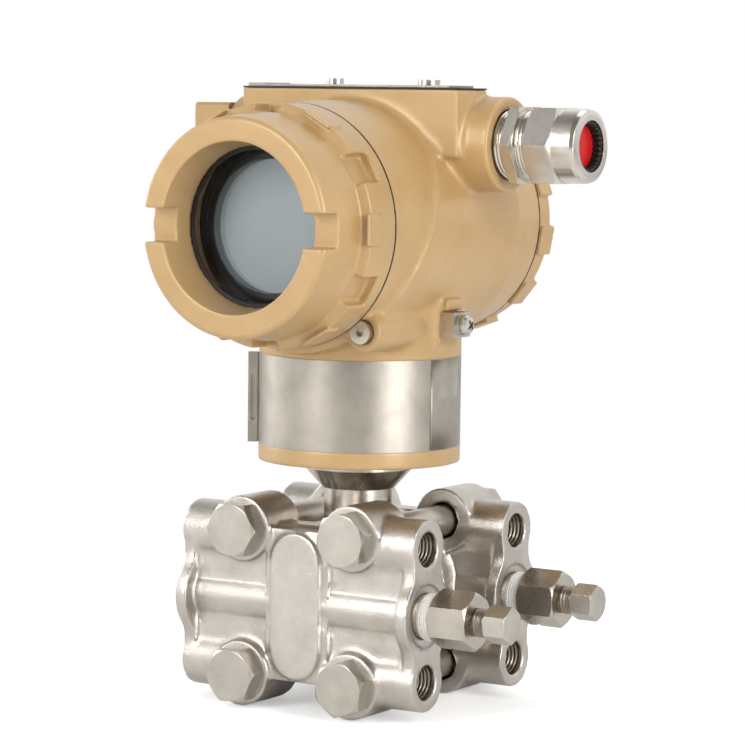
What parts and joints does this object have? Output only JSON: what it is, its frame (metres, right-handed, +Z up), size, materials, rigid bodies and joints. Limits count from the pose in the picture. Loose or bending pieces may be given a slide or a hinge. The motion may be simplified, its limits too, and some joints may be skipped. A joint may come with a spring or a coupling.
{
  "type": "differential pressure transmitter",
  "caption": "Industrial pressure transmitter: dual-compartment round housing with a window cover, cable gland and banded neck on a bolted flanged sensor with vent valves.",
  "frame": {"origin": "middle of the process interface, midway between the two process ports on the plane of the flange ends", "axes": "+Z up along the sensor neck, -X out of the process ports, -Y out of the window cover, +X out of the vent valves and the cable gland"},
  "size_m": [0.1405, 0.1366, 0.1973],
  "materials": {
    "housing_paint": "satin",
    "cast_steel": "blasted",
    "turned_steel": "satin",
    "bolt_steel": "satin",
    "small_steel": "satin",
    "band_steel": "brushed",
    "gland_steel": "satin",
    "black_rubber": "matt",
    "grey_seal": "matt",
    "glass": "polished",
    "display_case": "matt",
    "display_face": "gloss",
    "board": "satin",
    "terminal_plastic": "matt",
    "red_plug": "satin",
    "keeper_steel": "satin"
  },
  "bodies": {
    "sensor": {"sensor_body": "turned_steel", "neck_oring": "black_rubber", "process_gasket_high": "grey_seal", "process_gasket_low": "grey_seal", "isolating_diaphragm_high": "small_steel", "isolating_diaphragm_low": "small_steel", "process_flange_high": "cast_steel", "process_flange_low": "cast_steel", "flange_bolts": "bolt_steel", "flange_nuts": "bolt_steel", "vent_valve_body_high": "turned_steel", "vent_valve_body_low": "turned_steel"},
    "head": {"housing": "housing_paint", "display_module": "display_case", "display_panel": "display_face", "electronics_board": "board", "board_posts": "small_steel", "terminal_block": "terminal_plastic", "terminal_screws": "small_steel", "neck_band": "band_steel", "band_clip": "band_steel", "front_cover_lock_screw": "small_steel", "rear_cover_lock_screw": "small_steel", "neck_set_screw": "small_steel", "earth_clip": "small_steel", "earth_washer": "small_steel", "earth_screw": "small_steel", "gland_body": "gland_steel", "gland_seal": "black_rubber", "gland_plug": "red_plug", "conduit_plug": "housing_paint", "top_mat": "black_rubber", "plate_pivot_screw": "small_steel", "plate_clamp_screw": "small_steel"},
    "front_cover_carrier": {"front_cover_oring": "black_rubber"},
    "front_cover_screw": {"front_cover": "housing_paint", "window_glass": "glass", "window_seal": "black_rubber", "window_keeper": "keeper_steel"},
    "rear_cover_carrier": {"rear_cover_oring": "black_rubber"},
    "rear_cover_screw": {"rear_cover": "housing_paint"},
    "cover_plate": {"top_plate": "band_steel"},
    "zero_push": {"zero_button": "display_case"},
    "span_push": {"span_button": "display_case"},
    "gland_carrier": {"gland_washer": "small_steel"},
    "gland_cap": {"gland_nut": "gland_steel"},
    "vent_tip_high_carrier": {"vent_tip_high": "small_steel"},
    "vent_stem_high_screw": {"vent_stem_high": "bolt_steel"},
    "vent_tip_low_carrier": {"vent_tip_low": "small_steel"},
    "vent_stem_low_screw": {"vent_stem_low": "bolt_steel"}
  },
  "joints": [
    {"name": "housing_swivel", "type": "hinge", "parent": "sensor", "child": "head", "pos_m": [0.043, 0, 0.05], "axis": [0, 0, 1], "range_deg": [-180, 180]},
    {"name": "front_cover_travel", "type": "slide", "parent": "head", "child": "front_cover_carrier", "axis": [0, -1, 0], "range_m": [0, 0.012]},
    {"name": "front_cover_turn", "type": "hinge", "parent": "front_cover_carrier", "child": "front_cover_screw", "pos_m": [0.043, -0.05, 0.11885], "axis": [0, -1, 0], "range_deg": [0, 2160]},
    {"name": "rear_cover_travel", "type": "slide", "parent": "head", "child": "rear_cover_carrier", "axis": [0, 1, 0], "range_m": [0, 0.012]},
    {"name": "rear_cover_turn", "type": "hinge", "parent": "rear_cover_carrier", "child": "rear_cover_screw", "pos_m": [0.043, 0.06, 0.11885], "axis": [0, 1, 0], "range_deg": [0, 2160]},
    {"name": "top_plate_swing", "type": "hinge", "parent": "head", "child": "cover_plate", "pos_m": [0.0673, 0, 0.1625], "axis": [0, 0, 1], "range_deg": [0, 110]},
    {"name": "zero_press", "type": "slide", "parent": "head", "child": "zero_push", "axis": [0, 0, -1], "range_m": [0, 0.0012], "stiffness_N_per_m": 400, "springref_m": -0.0006},
    {"name": "span_press", "type": "slide", "parent": "head", "child": "span_push", "axis": [0, 0, -1], "range_m": [0, 0.0012], "stiffness_N_per_m": 400, "springref_m": -0.0006},
    {"name": "gland_nut_travel", "type": "slide", "parent": "head", "child": "gland_carrier", "axis": [1, 0, 0], "range_m": [0, 0.003]},
    {"name": "gland_nut_turn", "type": "hinge", "parent": "gland_carrier", "child": "gland_cap", "pos_m": [0.1123, 0.008, 0.1441], "axis": [1, 0, 0], "range_deg": [0, 720]},
    {"name": "vent_travel_high", "type": "slide", "parent": "sensor", "child": "vent_tip_high_carrier", "axis": [1, 0, 0], "range_m": [0, 0.003]},
    {"name": "vent_turn_high", "type": "hinge", "parent": "vent_tip_high_carrier", "child": "vent_stem_high_screw", "pos_m": [0.106, -0.027, 0], "axis": [1, 0, 0], "range_deg": [0, 864]},
    {"name": "vent_travel_low", "type": "slide", "parent": "sensor", "child": "vent_tip_low_carrier", "axis": [1, 0, 0], "range_m": [0, 0.003]},
    {"name": "vent_turn_low", "type": "hinge", "parent": "vent_tip_low_carrier", "child": "vent_stem_low_screw", "pos_m": [0.106, 0.027, 0], "axis": [1, 0, 0], "range_deg": [0, 864]}
  ],
  "couplings": [
    {"joint": "front_cover_turn", "follows": "front_cover_travel", "rad_per_m": 3141.5},
    {"joint": "rear_cover_turn", "follows": "rear_cover_travel", "rad_per_m": 3141.5},
    {"joint": "gland_nut_turn", "follows": "gland_nut_travel", "rad_per_m": 4188.7},
    {"joint": "vent_turn_high", "follows": "vent_travel_high", "rad_per_m": 5026.5},
    {"joint": "vent_turn_low", "follows": "vent_travel_low", "rad_per_m": 5026.5}
  ]
}
